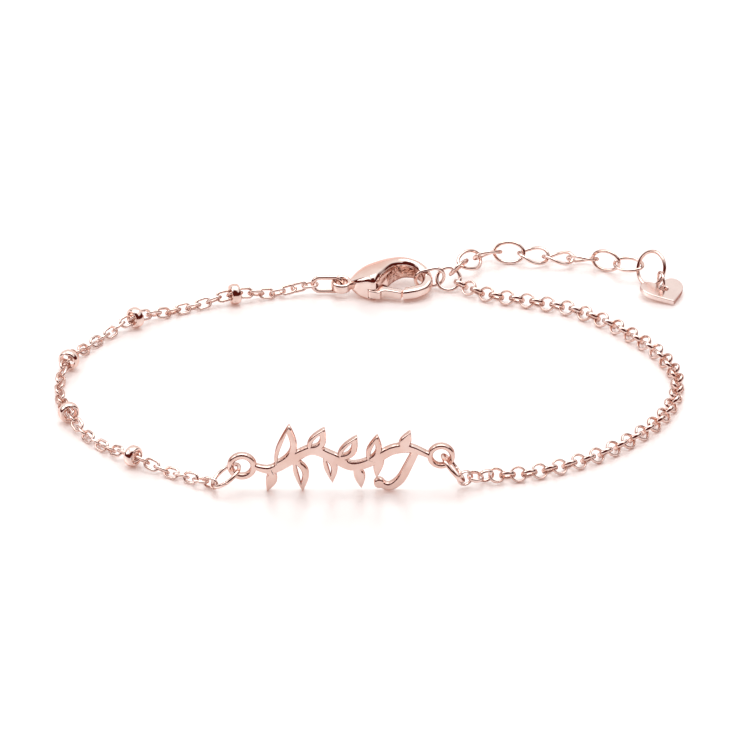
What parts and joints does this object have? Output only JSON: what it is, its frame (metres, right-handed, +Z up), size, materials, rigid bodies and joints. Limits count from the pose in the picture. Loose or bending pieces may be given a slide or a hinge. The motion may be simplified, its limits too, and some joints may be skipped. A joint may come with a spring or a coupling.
{
  "type": "nameplate bracelet",
  "caption": "Fine chain bracelet, fastened and lying flat: openwork vine plate, ring-bead chain on one side, rolo chain on the other, lobster clasp, extender with a heart tag.",
  "frame": {"origin": "middle of the wrist opening, on the surface that the bracelet lies on", "axes": "+Z up through the wrist opening; +X right, the way the extender lies; +Y back, from the plate to the clasp"},
  "size_m": [0.0648, 0.0523, 0.0074],
  "materials": {
    "rose_gold": "polished rose gold plating",
    "rose_gold_plate": "flat rose gold plating, softly polished"
  },
  "bodies": {
    "bracelet": {"nameplate": "rose_gold_plate", "jump_ring_left": "rose_gold", "jump_ring_right": "rose_gold", "satellite_chain": "rose_gold", "satellite_bead_1": "rose_gold", "satellite_bead_2": "rose_gold", "satellite_bead_3": "rose_gold", "satellite_bead_4": "rose_gold", "satellite_bead_5": "rose_gold", "clasp_connector_ring": "rose_gold", "clasp_body": "rose_gold", "clasp_rivet": "rose_gold", "hook_link": "rose_gold", "junction_ring": "rose_gold", "rolo_chain": "rose_gold", "extender_link_1": "rose_gold", "extender_link_2": "rose_gold", "extender_link_3": "rose_gold", "extender_link_4": "rose_gold", "extender_link_5": "rose_gold", "extender_link_6": "rose_gold", "extender_link_7": "rose_gold", "extender_link_8": "rose_gold", "extender_link_9": "rose_gold", "end_ring": "rose_gold", "tag_ring": "rose_gold", "heart_tag": "rose_gold_plate"},
    "lever": {"clasp_lever": "rose_gold"}
  },
  "joints": [
    {"name": "lever_hinge", "type": "hinge", "parent": "bracelet", "child": "lever", "pos_m": [0.0004, 0.01915, 0.001], "axis": [0.0242, -0.172, 0.9848], "range_deg": [0, 22], "stiffness_Nm_per_rad": 0.0004, "springref_deg": -8.59}
  ]
}
